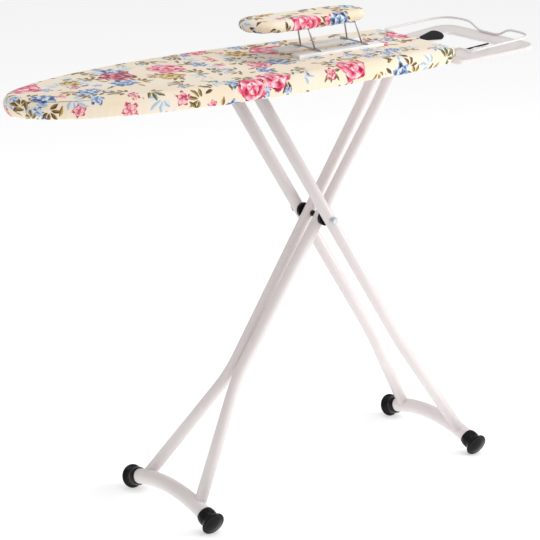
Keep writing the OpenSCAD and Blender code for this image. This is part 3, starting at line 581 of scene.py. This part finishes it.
def fitted_cover(name, line, top, hem, shoulder, spine, folds, fold_size, seed, tuck=0.010, drop=0.0045, round_from=0.35, round_in=0.012):
    """A sheet over a padded board.

    Plan: each outline point moves in by its distance from the edge; far inside it runs to the spine.
    Height: level, then a rounded shoulder (an ellipse `shoulder` wide and 0.85 of it tall), then down
    to the hem, which turns under. The cloth coordinate is the plan point on top, and past the edge
    the edge point plus the length of cloth hanging from it."""
    rng = np.random.default_rng(seed)
    n = len(line)
    out = outward(line)
    height = top - hem
    drop_curve = 0.85 * shoulder
    # how far in (d) and down (z) each ring lies, and the cloth's length from the edge of the flat
    inner = np.array([0.0, 0.18, 0.36, 0.52, 0.66, 0.78, 0.88, 0.95])
    arc = np.radians(np.linspace(0, 90, 9))
    d = np.concatenate([shoulder * (1 - np.sin(arc)), np.full(9, 0.0), tuck * np.array([0.12, 0.4, 0.75, 1.0])])
    down = np.concatenate([drop_curve * (1 - np.cos(arc)), np.linspace(drop_curve, height - 0.002, 10)[1:],
                           np.array([height - 0.0006, height, height - 0.0006, height - 0.0022])])
    steps = np.hypot(np.diff(d), np.diff(down))
    along = np.concatenate([[0], np.cumsum(steps)]) - shoulder
    # folds: strong where the outline bends, growing down the skirt
    turn = np.abs(np.cross(out, np.roll(out, -4, 0)))
    kernel = np.exp(-0.5 * (np.arange(-30, 31) / 12.0) ** 2)
    kernel /= kernel.sum()
    bend = np.convolve(np.concatenate([turn[-30:], turn, turn[:30]]), kernel, "valid")
    bend = bend / bend.max()
    s = np.arange(n) / n
    wave = np.sin(2 * np.pi * folds * s + 4.0 * smooth_noise(n, 9, rng))
    wave += 0.5 * np.sin(2 * np.pi * folds * 1.83 * s + 3.0 * smooth_noise(n, 7, rng))
    strength = fold_size * (0.22 + 0.78 * np.clip(bend * 1.5, 0, 1)) * (0.8 + 0.5 * smooth_noise(n, 20, rng))
    fall = np.clip(down / height, 0, 1)
    ripple = wave[:, None] * strength[:, None] * (fall ** 1.4)[None, :] * 0.7
    pull = -drop * (fall ** 2)[None, :] * (0.35 + 0.65 * bend)[:, None]
    # below `round_from` of its height the skirt curls under, most where the outline bends
    low = np.clip((fall - round_from) / (1 - round_from), 0, 1)
    curl = -round_in * (1 - np.sqrt(1 - (0.97 * low) ** 2))[None, :] * (0.30 + 0.70 * np.clip(1.6 * bend, 0, 1))[:, None]
    off = -d[None, :] + np.minimum(ripple, 0.0008) + pull + curl
    plan = line[:, None] + out[:, None] * off[..., None]
    z = np.broadcast_to(top - down, (n, len(d))).copy()
    z += (0.0011 * smooth_noise(n, 26, rng)[:, None]) * (fall ** 3)[None, :]
    # the tail's skirt is cut short where the iron rest comes out
    z, plan = shorten(line, z, plan, top, height)
    uv_edge = line[:, None] + out[:, None] * along[None, :, None]
    # middle of the board
    first = plan[:, 0]
    core = np.stack([np.clip(line[:, 0], *spine), np.full(n, line[:, 1].mean())], 1)
    mid = core[:, None] + (first - core)[:, None] * inner[None, :, None]
    low_x, low_y = mid[..., 0], mid[..., 1]
    swell = 0.00035 * np.sin(low_x * 31 + 2 * np.sin(low_y * 23)) * np.sin(low_y * 37 + 1.0) - 0.0004
    edge_keep = (1 - inner ** 6)[None, :]
    z_mid = top + swell * edge_keep
    grid = np.concatenate([np.concatenate([mid, z_mid[..., None]], 2), np.concatenate([plan, z[..., None]], 2)], 1)
    uv = np.concatenate([mid, uv_edge], 1)
    points, flat = grid.reshape(-1, 3), uv.reshape(-1, 2)
    faces = grid_faces(n, grid.shape[1], close_rows=True, flip=True)
    obj = to_object(name, points, faces, flat)
    import bmesh
    b = bmesh.new()
    b.from_mesh(obj.data)
    bmesh.ops.remove_doubles(b, verts=b.verts, dist=1e-6)
    b.to_mesh(obj.data)
    b.free()
    s1 = obj.modifiers.new("cloth", "SOLIDIFY")
    s1.thickness, s1.offset = 0.0009, -1.0
    s2 = obj.modifiers.new("smooth", "SUBSURF")
    s2.levels = s2.render_levels = 1
    length = 2 * (height + tuck)
    size = (np.ptp(line[:, 0]) + length, np.ptp(line[:, 1]) + length)
    print(name, "cloth cut", tuple(round(float(x), 3) for x in size), "faces", len(faces))
    return obj, size


def shorten(line, z, plan, top, height):
    """Lifts the hem where the iron rest leaves the board's tail."""
    lift = np.clip((line[:, 0] - (tail_x - 0.012)) / 0.008, 0, 1) * np.clip((0.124 - np.abs(line[:, 1])) / 0.012, 0, 1)
    lift = lift * (np.ptp(line[:, 0]) > 0.6)
    lift = (lift * lift * (3 - 2 * lift))[:, None]
    short = (height - 0.0125) / height
    return top - (top - z) * (1 - lift * (1 - short)), plan


def flat_area(line, beyond):
    """Area inside a closed line, grown by `beyond` all round."""
    x, y = line.T
    inside = 0.5 * abs(np.dot(x, np.roll(y, -1)) - np.dot(y, np.roll(x, -1)))
    return inside + beyond * np.linalg.norm(np.roll(line, -1, 0) - line, axis=1).sum()


cover, cover_cut = fitted_cover("printed_cover", board_line, c_high[2], c_low[2], 0.019, (-0.50, 0.33), 150, 0.0016, 4,
                                round_from=0.35, round_in=0.013)
cover.data.materials.append(board_print)
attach(cover, "board")
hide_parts("board_cover")
flat_area(board_line, 0.042)

sleeve, sleeve_cut = fitted_cover("sleeve_printed_cover", sleeve_line, s_high[2], s_low[2] + 0.003, 0.0125,
                                  (s_low[0] + 0.048, s_high[0] - 0.045), 62, 0.0011, 9, tuck=0.008, drop=0.002,
                                  round_from=0.42, round_in=0.017)
sleeve.data.materials.append(sleeve_print)
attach(sleeve, "sleeve_board")
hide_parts("sleeve_cover")
flat_area(sleeve_line, 0.030)

# %% [markdown]
# Under each cover lies a felt pad. It could stay a plain slab, but its edge shows from below, so
# it is a soft slab: the outline carried round a low rounded edge, with a slightly uneven skin.

# %% Felt pads
def soft_slab(name, line, low, high, margin, rows=7):
    """The outline set in by `margin`, carried round half an ellipse from the underside to the top,
    and closed to the spine on both faces; the skin is moved a fraction of a millimetre by sines."""
    out = outward(line)
    half, mid = (high - low) / 2, (high + low) / 2
    a = np.radians(np.linspace(-90, 90, rows))
    centre = line.mean(0)
    rings = []
    for f in (0.0, 0.3, 0.55, 0.78, 0.93):
        rings.append(np.concatenate([centre * [0, 1] + [0, 0] + (line - centre * [0, 1]) * [1, 1] * f
                                     + (1 - f) * np.stack([np.clip(line[:, 0], line[:, 0].min() + 0.1, line[:, 0].max() - 0.05),
                                                           0 * line[:, 0]], 1), np.full((len(line), 1), low)], 1))
    edge = [np.concatenate([line + out * (-margin - half + half * math.cos(t)), np.full((len(line), 1), mid + half * math.sin(t))], 1)
            for t in a]
    tops = [np.column_stack([r[:, :2], np.full(len(line), high)]) for r in rings[::-1]]
    grid = np.stack(rings + edge + tops, 1)
    wobble = 0.00025 * np.sin(grid[..., 0] * 90) * np.sin(grid[..., 1] * 110)
    grid[..., 2] += wobble * np.sign(grid[..., 2] - mid)
    obj = to_object(name, grid.reshape(-1, 3), grid_faces(len(line), grid.shape[1], close_rows=True))
    import bmesh
    b = bmesh.new()
    b.from_mesh(obj.data)
    bmesh.ops.remove_doubles(b, verts=b.verts, dist=1e-6)
    bmesh.ops.recalc_face_normals(b, faces=b.faces)
    b.to_mesh(obj.data)
    b.free()
    return obj


f_low, f_high = (np.array(v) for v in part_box("felt_pad"))
p_low, p_high = (np.array(v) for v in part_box("sleeve_pad"))
for label, line, box, margin, body, cad in (
        ("felt_underlay", board_line[::2], (f_low, f_high), 0.0095, "board", "felt_pad"),
        ("sleeve_underlay", sleeve_line[::2], (p_low, p_high), 0.0055, "sleeve_board", "sleeve_pad")):
    low, high = box[0][2], box[1][2] - 0.0013
    pad = soft_slab(label, line, low, high, margin)
    pad.data.materials.append(grey_felt)
    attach(pad, body)
    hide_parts(cad)
    print(label, "thickness", round(float(high - low) * 1000, 1), "mm")

# %% [markdown]
# The four leg tubes are bent steel tube. The frame's own tubes have flats, so each gets a smooth
# skin with the same centre line: its end past the rail, the crossing, the knee, and the foot bar.

# %% Leg tubes
fold, cross = joints["leg_fold"]["pos_m"], joints["leg_scissor"]["pos_m"]
slide_end = [2 * cross[0] - fold[0], fold[2]]
KNEE_Z, SPLAY_Y, FOOT_R, LEG_R = 0.258, 0.097, 0.016, 0.0125
ia, ib = (np.array(v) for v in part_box("inner_foot_bar"))
oa, ob = (np.array(v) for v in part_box("outer_foot_bar"))


def foot_height(low, high):
    """Height of the arched bar's centre line where the splayed tube meets it (a circle's arc)."""
    half, slope = 0.130, math.radians(18.8)
    radius = half / math.sin(slope)
    return high[2] - FOOT_R - radius + math.sqrt(radius ** 2 - SPLAY_Y ** 2)


def leg_path(inner, side):
    """Points of one tube's centre line, in metres."""
    if inner:
        lean = 0.665
        y = lambda z: 0.0133 + 0.0112 * (z - KNEE_Z) / (fold[2] - KNEE_Z)
        foot = [(ia[0] + ib[0]) / 2, SPLAY_Y, foot_height(ia, ib)]
        pts = [[fold[0] + 0.005, y(fold[2] + 0.01), fold[2] + 0.01],
               [cross[0] + lean * (0.8 - cross[2]), y(0.8), 0.8], [cross[0], y(cross[2]), cross[2]],
               [cross[0] - lean * (cross[2] - KNEE_Z), 0.0133, KNEE_Z], foot]
    else:
        lean = (fold[0] - cross[0]) / (fold[2] - cross[2])
        foot = [(oa[0] + ob[0]) / 2, SPLAY_Y, foot_height(oa, ob)]
        pts = [[slide_end[0] - 0.01 * lean, 0.052, fold[2] + 0.01],
               [cross[0] + lean * (cross[2] - KNEE_Z), 0.052, KNEE_Z], foot]
    return np.array(pts) * [1, side, 1]


for inner, body, label in ((True, "inner_legs", "inner_leg"), (False, "outer_legs", "outer_leg")):
    for side, word in ((1, "left"), (-1, "right")):
        path = rounded_path(leg_path(inner, side), 0.042)
        leg = face_out(tube(f"{label}_tube_{word}", path, LEG_R, sides=48, first=(0, 1, 0)))
        leg.data.materials.append(white_paint)
        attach(leg, body)
        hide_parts(f"{label}_{word}")
print("leg tubes:", 4, "length of one:", round(float(np.linalg.norm(np.diff(path, axis=0), axis=1).sum()), 3))


# %% [markdown]
# Wire parts. The rail round the iron is one bent wire, welded down at its ends and at the middle
# of the far end; the sleeve board stands on two wire loops with a straight base rod each.

# %% Wire rail and sleeve legs
REST_X, REST_Z, SLOPE = 0.382, 0.87624, math.radians(3.8)


def on_rest(points):
    """Points given in the rest's own plane (X from the tail, Z up from the plate), tilted to its slope."""
    p = np.array(points, float)
    x, z = p[..., 0] - REST_X, p[..., 2]
    return np.stack([REST_X + x * math.cos(SLOPE) - z * math.sin(SLOPE), p[..., 1],
                     REST_Z + x * math.sin(SLOPE) + z * math.cos(SLOPE)], -1)


RACK_R = 0.0025
half = np.array([[0.406, 0.092, 0.0026], [0.406, 0.097, 0.019], [0.407, 0.142, 0.019],
                 [0.545, 0.141, 0.019], [0.572, 0.132, 0.019], [0.583, 0.105, 0.019],
                 [0.583, 0.060, 0.019], [0.583, 0.032, 0.0026]])
rack_path = rounded_path(on_rest(np.concatenate([half, half[::-1] * [1, -1, 1]])), 0.016)
rack = face_out(tube("iron_rail", rack_path, RACK_R, sides=20, first=(1, 0, 0.2)))
rack.data.materials.append(painted_wire)
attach(rack, "board")
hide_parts("rest_wire_rack")

LINK_R = 0.0017
base_z = joints["sleeve_fold"]["pos_m"][2]
mid_y = joints["sleeve_fold"]["pos_m"][1]
head = joints["sleeve_level"]["pos_m"]
for label, body, joint in (("sleeve_leg_front", "sleeve_front_link", "sleeve_fold"),
                           ("sleeve_leg_rear", "sleeve_rear_link", "sleeve_rear_fold")):
    x = joints[joint]["pos_m"][0]
    lean = head[0] - joints["sleeve_fold"]["pos_m"][0]
    loop = rounded_path([[x, mid_y + 0.024, base_z], [x + lean, mid_y + 0.018, head[2]],
                         [x + lean, mid_y - 0.018, head[2]], [x, mid_y - 0.024, base_z]], 0.0045, step=0.001)
    riser = face_out(tube(label + "_loop", loop, LINK_R - 0.00005, sides=16, first=(1, 0, 0)))
    base = face_out(tube(label + "_base", np.linspace([x, mid_y - 0.046, base_z], [x, mid_y + 0.046, base_z], 6), LINK_R,
                         sides=16, first=(1, 0, 0), ends="dome"))
    for piece in (riser, base):
        piece.data.materials.append(plated_wire)
        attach(piece, body)
    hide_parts(label)
print("rail wire length", round(float(np.linalg.norm(np.diff(rack_path, axis=0), axis=1).sum()), 3))


# %% [markdown]
# The iron rest is one pressed sheet: a shallow tray upside down, with its edge rolled down and a
# lip pressed down round the opening. Both edges are rounded rectangles with the same number of
# points, so the sheet is a grid: round the frame one way, and across it the other.

# %% Pressed iron rest
def corner_points(cx, cy, r, a1, a2, n=14):
    """Points on an arc, in the plan of the rest."""
    a = np.radians(np.linspace(a1, a2, n))
    return np.stack([cx + r * np.cos(a), cy + r * np.sin(a)], 1)


def rest_edges(n=360):
    """The outer edge and the opening as closed lines."""
    end_x, w1, w2, rc = 0.593, 0.132, 0.147, 0.038
    top = np.concatenate([[[REST_X, 0.0]], corner_points(REST_X + 0.012, w1 - 0.012, 0.012, 180, 92, 8),
                          corner_points(end_x - rc, w2 - rc, rc, 90, 0, 24), [[end_x, 0.0]]])
    outer = np.concatenate([top, top[-2:0:-1] * [1, -1]])
    x1, x2, w, r = 0.456, 0.542, 0.080, 0.012
    q = np.concatenate([[[x1, 0.0]], corner_points(x1 + r, w - r, r, 180, 90, 10), corner_points(x2 - r, w - r, r, 90, 0, 10),
                        [[x2, 0.0]]])
    hole = np.concatenate([q, q[-2:0:-1] * [1, -1]])
    return outer, hole


def paired(outer, hole, n):
    """The two lines cut at the same n shares of their length, starting from the board's side.
    Shares are warped so that corners of both fall near each other."""
    def cut(line, share):
        closed = np.concatenate([line, line[:1]])
        s = np.concatenate([[0], np.cumsum(np.linalg.norm(np.diff(closed, axis=0), axis=1))])
        return np.stack([np.interp(share * s[-1], s, closed[:, k]) for k in (0, 1)], 1)
    def angle_share(line, centre):
        fine = cut(line, np.linspace(0, 1, 4001)[:-1])
        a = np.unwrap(np.arctan2((fine[:, 1] - centre[1]) / 1.0, -(fine[:, 0] - centre[0])))
        return fine, a
    centre = np.array([0.499, 0.0])
    fo, ao = angle_share(outer, centre)
    fh, ah = angle_share(hole, centre)
    at = np.concatenate([np.linspace(0, 2 * np.pi, n, endpoint=False)])
    # half the points by direction, half by the hole's length, so the corners stay sharp
    share = np.linspace(0, 1, n, endpoint=False)
    ah_len = np.interp(share, np.linspace(0, 1, len(ah), endpoint=False), ah)
    a = 0.5 * at + 0.5 * ah_len
    take = lambda f, ang: np.stack([np.interp(a, ang, f[:, k], period=2 * np.pi) for k in (0, 1)], 1)
    return take(fo, ao), take(fh, ah)


outer, hole = paired(*rest_edges(), 720)
o_out = outward(outer)
h_out = outward(hole)
EDGE_DROP, LIP_DROP, ROLL = 0.007, 0.006, 0.0035
t = np.radians(np.linspace(90, 0, 6))
rings = [np.column_stack([outer - o_out * 0.0006, np.full(len(outer), -EDGE_DROP)])]
rings += [np.column_stack([outer - o_out * 0.0, np.full(len(outer), z)]) for z in (-EDGE_DROP + 0.001, -ROLL - 0.001)]
rings += [np.column_stack([outer - o_out * (ROLL * (1 - math.cos(u))), np.full(len(outer), -ROLL + ROLL * math.sin(u))])
          for u in np.radians(np.linspace(5, 90, 7))]
for f in (0.03, 0.1, 0.3, 0.5, 0.7, 0.9, 0.97):
    a_line, b_line = outer - o_out * ROLL, hole + h_out * ROLL
    rings.append(np.column_stack([a_line * (1 - f) + b_line * f, np.full(len(outer), 0.0)]))
rings += [np.column_stack([hole + h_out * (ROLL * (1 - math.sin(u))), np.full(len(hole), -ROLL + ROLL * math.cos(u))])
          for u in np.radians(np.linspace(0, 90, 7))]
rings.append(np.column_stack([hole, np.full(len(hole), -LIP_DROP)]))
sheet_grid = on_rest(np.stack(rings, 1))
plate = to_object("pressed_iron_rest", sheet_grid.reshape(-1, 3), grid_faces(len(outer), sheet_grid.shape[1], close_rows=True))
up = sum(p.normal.z for p in plate.data.polygons)
if up < 0:
    plate.data.flip_normals()
wall = plate.modifiers.new("sheet", "SOLIDIFY")
wall.thickness, wall.offset = 0.0016, -1.0
plate.data.materials.append(white_paint)
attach(plate, "board")
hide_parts("rest_frame")

strip = on_rest(np.array([[[x, y, z] for y in np.linspace(-0.082, 0.082, 9)] for x, z in
                          ((0.318, -0.002), (0.318, -0.0001), (0.384, -0.0001), (0.384, -0.002))]))
tongue_obj = to_object("rest_tongue", strip.reshape(-1, 3), np.concatenate([grid_faces(4, 9, close_rows=True)]), smooth=False)
import bmesh
b = bmesh.new()
b.from_mesh(tongue_obj.data)
bmesh.ops.holes_fill(b, edges=[e for e in b.edges if e.is_boundary])
bmesh.ops.recalc_face_normals(b, faces=b.faces)
b.to_mesh(tongue_obj.data)
b.free()
tongue_obj.data.materials.append(white_paint)
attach(tongue_obj, "board")
print("iron rest sheet:", len(plate.data.polygons), "faces")


# %% [markdown]
# Two soft pads keep a hot iron off the paint. Each is a silicone teardrop with a rounded edge and
# a slightly domed top: the teardrop outline carried up a quarter circle, then in to the middle.

# %% Silicone pads
def teardrop_line(n=120):
    """Two circles, 17 mm and 8 mm, 36 mm apart, joined by their common tangents."""
    wide, narrow, length = 0.017, 0.008, 0.036
    tip = math.degrees(math.asin((wide - narrow) / length))
    h = np.concatenate([corner_points(0.015, 0, wide, 0, 90 + tip, 40), corner_points(0.015 - length, 0, narrow, 90 + tip, 180, 30)])
    return evenly(np.concatenate([h, h[-2:0:-1] * [1, -1]])[::-1], n)


def pad_place(points, side):
    """From the pad's own place to the rest: tilted 21 degrees inwards, then onto the slope."""
    a = side * math.radians(21)
    p = np.array(points, float)
    y, z = p[..., 1], p[..., 2]
    q = np.stack([p[..., 0] + 0.481, y * math.cos(a) - z * math.sin(a) + side * 0.0725,
                  y * math.sin(a) + z * math.cos(a) + 0.0012], -1)
    return on_rest(q)


line = teardrop_line()
n_out = outward(line)
rings = [np.column_stack([line * 0.5, np.zeros(len(line))]), np.column_stack([line, np.zeros(len(line))]),
         np.column_stack([line, np.full(len(line), 0.0014)])]
for u in np.radians(np.linspace(10, 90, 6)):
    rings.append(np.column_stack([line - n_out * 0.0018 * (1 - math.cos(u)), np.full(len(line), 0.0014 + 0.0014 * math.sin(u))]))
for f in (0.8, 0.55, 0.3, 0.1):
    rings.append(np.column_stack([(line - n_out * 0.0018) * f, np.full(len(line), 0.0028 + 0.0005 * (1 - f * f))]))
pad_grid = np.stack(rings, 1)
for side, word in ((1, "left"), (-1, "right")):
    g = pad_place(pad_grid, side)
    ends = pad_place(np.array([[0, 0, 0.0], [0, 0, 0.0033]]), side)
    n, m = g.shape[:2]
    points = np.concatenate([g.reshape(-1, 3), ends])
    k = np.arange(n)
    tri = np.concatenate([np.stack([k * m, (k + 1) % n * m, np.full(n, n * m)], 1),
                          np.stack([(k + 1) % n * m + m - 1, k * m + m - 1, np.full(n, n * m + 1)], 1)])
    obj = face_out(to_object_mixed("silicone_pad_" + word, points, grid_faces(n, m, close_rows=True), tri))
    for poly in obj.data.polygons:
        poly.use_smooth = True
    obj.data.materials.append(black_silicone)
    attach(obj, "board")
    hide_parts("rest_pad_" + word)


# %% [markdown]
# The small board stands on two flat white bars. Each is a bar with rounded long edges: a rounded
# rectangle carried along X, drawn in a little at its ends.

# %% Sleeve board bars
def rounded_bar(name, low, high, radius, rows=10):
    """A box whose long edges are quarter circles and whose ends shrink over the last few millimetres."""
    low, high = np.array(low), np.array(high)
    cy, cz, hy, hz = (low[1] + high[1]) / 2, (low[2] + high[2]) / 2, (high[1] - low[1]) / 2, (high[2] - low[2]) / 2
    q = np.concatenate([corner_points(sy * (hy - radius), sz * (hz - radius), radius, a, a + 90, 6)
                        for sy, sz, a in ((1, 1, 0), (-1, 1, 90), (-1, -1, 180), (1, -1, 270))])
    u = np.radians(np.linspace(0, 90, 6))
    xs = np.concatenate([low[0] + radius * (1 - np.sin(u[::-1][::-1]))[::-1][::-1], [low[0] + radius * 0]])
    cut = radius * (1 - np.sin(u))
    left = list(zip(low[0] + radius * (1 - np.cos(u)), cut))
    rows_x = [(x, c) for x, c in left] + [(low[0] + high[0] - x, c) for x, c in left[::-1]]
    g = np.array([[[x, cy + (y - math.copysign(c, y) if abs(y) > 0 else y), cz + z - math.copysign(c, z)] for y, z in q]
                  for x, c in rows_x])
    n, m = g.shape[:2]
    points = np.concatenate([g.reshape(-1, 3), [[g[0, 0, 0], cy, cz]], [[g[-1, 0, 0], cy, cz]]])
    k = np.arange(m)
    tri = np.concatenate([np.stack([k, (k + 1) % m, np.full(m, n * m)], 1),
                          np.stack([(k + 1) % m + (n - 1) * m, k + (n - 1) * m, np.full(m, n * m + 1)], 1)])
    return face_out(to_object_mixed(name, points, grid_faces(n, m, close_columns=True), tri))


for word in ("left", "right"):
    lo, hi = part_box("sleeve_skid_" + word)
    bar = rounded_bar("sleeve_bar_" + word, lo, hi, 0.0022)
    bar.data.materials.append(white_plastic)
    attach(bar, "sleeve_base")
    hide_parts("sleeve_skid_" + word)

# %% [markdown]
# The rim under the cover is a round tube that follows the outline. It is drawn again with a
# smooth skin, because it shows from below.

# %% Rim tube
r_low, r_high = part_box("rim_tube")
rim_r = (r_high[2] - r_low[2]) / 2
edge = board_line[::2] - outward(board_line)[::2] * 0.012
rim_path = np.column_stack([edge, np.full(len(edge), (r_low[2] + r_high[2]) / 2)])
rim_obj = face_out(tube("rim_of_board", rim_path, rim_r, sides=20, closed=True))
rim_obj.data.materials.append(white_paint)
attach(rim_obj, "board")
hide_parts("rim_tube")

# %% [markdown]
# Everything else keeps the frame's own shape and only needs its finish. The record's material
# slot of each part says which one.

# %% Finishes for the frame's parts
finishes = {"printed_cotton": board_print, "felt": grey_felt, "white_steel": white_paint, "zinc_steel": zinc_plate,
            "zinc_wire": plated_wire, "black_plastic": gloss_black, "black_silicone": black_silicone,
            "white_plastic": white_plastic}
slots = {s["node"]: s["material_slot"] for s in frame["record"]["subparts"]}
for name, obj in nodes.items():
    obj.data.materials.clear()
    obj.data.materials.append(finishes[slots[name]])
print("finished frame parts:", len(slots))

# %% [markdown]
# A pale floor and a large soft studio: a wide key light from the left front, a fill from the
# right, a light from above, and a bright even sky so that nothing is harsh.

# %% Studio
floor_mat = bpy.data.materials.new("studio_floor")
floor_mat.use_nodes = True
fp = floor_mat.node_tree.nodes["Principled BSDF"]
fp.inputs["Base Color"].default_value = (0.95, 0.95, 0.95, 1)
fp.inputs["Roughness"].default_value = 0.9
fp.inputs["Specular IOR Level"].default_value = 0.1
fp.inputs["Emission Color"].default_value = (1, 1, 1, 1)
fp.inputs["Emission Strength"].default_value = 0.38
floor = to_object("studio_floor", np.array([[-30, -30, 0], [30, -30, 0], [30, 30, 0], [-30, 30, 0.0]]), np.array([[0, 1, 2, 3]]))
floor.data.materials.append(floor_mat)


def soft_light(name, place, target, size, power, colour=(1, 1, 1)):
    """A large square lamp that faces the target."""
    data = bpy.data.lights.new(name, "AREA")
    data.shape, data.size, data.energy, data.color = "SQUARE", size, power, colour
    obj = bpy.data.objects.new(name, data)
    z = unit(np.array(place, float) - np.array(target, float))
    x = unit(np.cross([0, 0, 1.0], z))
    m = np.eye(4)
    m[:3, 0], m[:3, 1], m[:3, 2], m[:3, 3] = x, np.cross(z, x), z, place
    obj.matrix_world = Matrix(m.tolist())
    bpy.context.scene.collection.objects.link(obj)
    return obj


soft_light("key", (3.0, -2.2, 1.7), (0, 0, 0.5), 1.8, 66)
soft_light("fill", (-3.4, -1.6, 1.5), (0, 0, 0.6), 2.4, 3)
soft_light("above", (0.2, -0.3, 3.4), (0, 0, 0.8), 2.4, 26)
world = bpy.data.worlds.new("studio")
world.use_nodes = True
sky = world.node_tree.nodes["Background"]
seen = node(world.node_tree, "LightPath").outputs["Is Camera Ray"]
world.node_tree.links.new(math_node(world.node_tree, "MULTIPLY_ADD", seen, 0.6, 0.52), sky.inputs[1])
sky.inputs[0].default_value = (1, 1, 1, 1)
bpy.context.scene.world = world
bpy.context.scene.view_settings.view_transform = "Standard"
